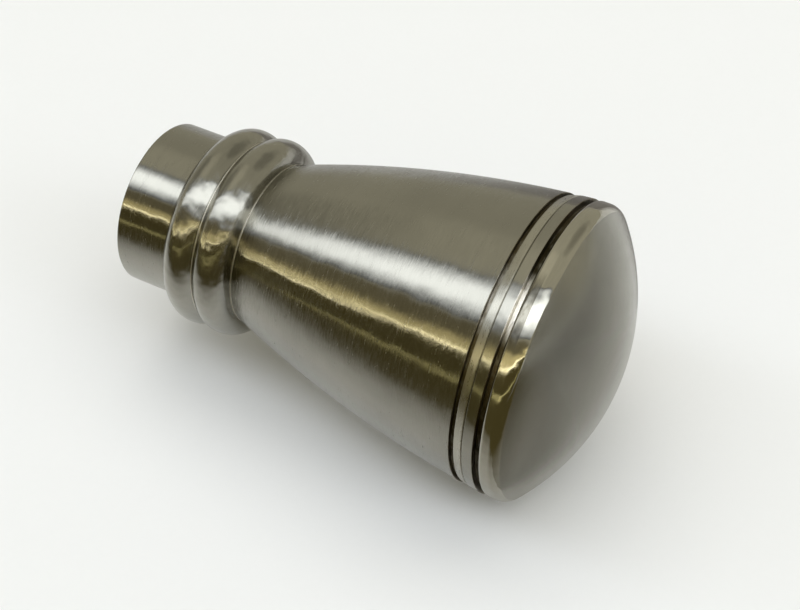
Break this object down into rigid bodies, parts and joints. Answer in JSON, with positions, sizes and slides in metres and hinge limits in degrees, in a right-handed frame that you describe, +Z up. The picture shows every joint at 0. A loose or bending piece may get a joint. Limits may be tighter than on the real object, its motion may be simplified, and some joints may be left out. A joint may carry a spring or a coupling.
{
  "type": "curtain pole finial",
  "caption": "Turned metal finial: socket collar, half-round beads, flaring body, grooved rim and domed cap. It slips over the end of a curtain pole and a grub screw locks it.",
  "frame": {"origin": "centre of the collar's mouth, on the pole's axis", "axes": "+X along the pole's axis from the mouth towards the dome, +Z up with the grub screw underneath"},
  "size_m": [0.0958, 0.0564, 0.0564],
  "materials": {
    "brushed_nickel": "satin nickel plate, brushed round the axis, smoother on the beads, band and dome, polished on the cap",
    "black_steel": "blackened alloy steel"
  },
  "bodies": {
    "root": {"finial_body": "brushed_nickel", "grub_screw": "black_steel"}
  },
  "joints": []
}
